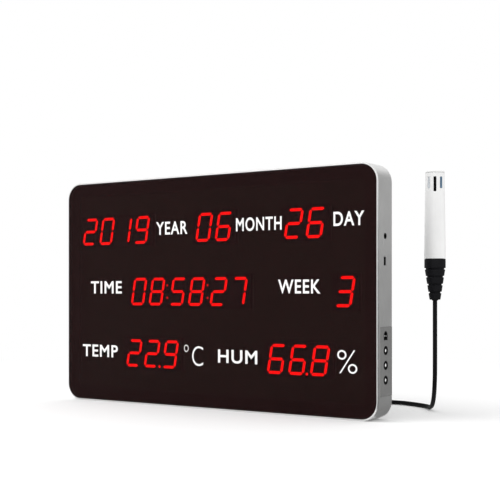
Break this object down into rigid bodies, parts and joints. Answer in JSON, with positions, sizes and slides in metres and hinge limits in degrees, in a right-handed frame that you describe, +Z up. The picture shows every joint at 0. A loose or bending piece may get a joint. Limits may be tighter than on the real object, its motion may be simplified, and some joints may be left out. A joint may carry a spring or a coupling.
{
  "type": "led calendar clock with temperature and humidity probe",
  "caption": "Flat wall or desk clock in a silver band with a smoked front over red LED digits, side keys and sockets, and a slotted white climate probe on its own lead.",
  "frame": {"origin": "on the floor, under the middle of the display's case", "axes": "+X along the display's width towards its keys, +Y from its face to its back, +Z up"},
  "size_m": [0.4102, 0.1525, 0.24],
  "materials": {
    "silver_band": "satin silver",
    "smoked_acrylic": "smoked, half matte",
    "back_paint": "fine textured powder coat",
    "black_plastic": "moulded",
    "black_rubber": "soft matte",
    "lead_jacket": "smooth jacket",
    "grey_plastic": "moulded",
    "white_plastic": "fine moulded",
    "milky_guide": "milky, lit red",
    "green_board": "solder mask",
    "blue_board": "solder mask",
    "steel": "bright plated"
  },
  "bodies": {
    "clock": {"case_frame": "silver_band", "front_panel": "smoked_acrylic", "panel_tape": "black_rubber", "rear_cover": "back_paint", "cover_screw_1": "steel", "cover_screw_2": "steel", "cover_screw_3": "steel", "cover_screw_4": "steel", "main_board": "green_board", "board_screw_1": "steel", "board_screw_2": "steel", "board_screw_3": "steel", "board_screw_4": "steel", "year_reflector": "black_plastic", "month_reflector": "black_plastic", "day_reflector": "black_plastic", "time_reflector": "black_plastic", "week_reflector": "black_plastic", "temperature_reflector": "black_plastic", "humidity_reflector": "black_plastic", "year_light_guide": "milky_guide", "month_light_guide": "milky_guide", "day_light_guide": "milky_guide", "time_light_guide": "milky_guide", "week_light_guide": "milky_guide", "temperature_light_guide": "milky_guide", "humidity_light_guide": "milky_guide", "controller_chip": "black_plastic", "cell_holder": "black_plastic", "coin_cell": "steel", "sensor_socket": "black_plastic", "data_port": "black_plastic", "control_plate": "grey_plastic", "dc_jack": "black_plastic", "dc_pin": "steel", "key_board": "green_board", "key_screw_1": "steel", "key_screw_2": "steel", "key_ribbon": "grey_plastic", "down_bezel": "black_plastic", "set_bezel": "black_plastic", "up_bezel": "black_plastic", "down_switch": "black_plastic", "set_switch": "black_plastic", "up_switch": "black_plastic", "probe_shell": "white_plastic", "probe_cap": "white_plastic", "probe_board": "blue_board", "sensor_chip": "black_plastic", "probe_boot": "black_rubber", "probe_lead": "lead_jacket", "lead_coil": "lead_jacket", "coil_tie": "black_plastic", "plug_body": "black_plastic", "plug_tip": "steel"},
    "down_key": {"down_button": "white_plastic"},
    "set_key": {"set_button": "white_plastic"},
    "up_key": {"up_button": "white_plastic"}
  },
  "joints": [
    {"name": "down_press", "type": "slide", "parent": "clock", "child": "down_key", "axis": [-1, 0, 0], "range_m": [0, 0.0008], "stiffness_N_per_m": 1500, "springref_m": -0.0004},
    {"name": "set_press", "type": "slide", "parent": "clock", "child": "set_key", "axis": [-1, 0, 0], "range_m": [0, 0.0008], "stiffness_N_per_m": 1500, "springref_m": -0.0004},
    {"name": "up_press", "type": "slide", "parent": "clock", "child": "up_key", "axis": [-1, 0, 0], "range_m": [0, 0.0008], "stiffness_N_per_m": 1500, "springref_m": -0.0004}
  ]
}
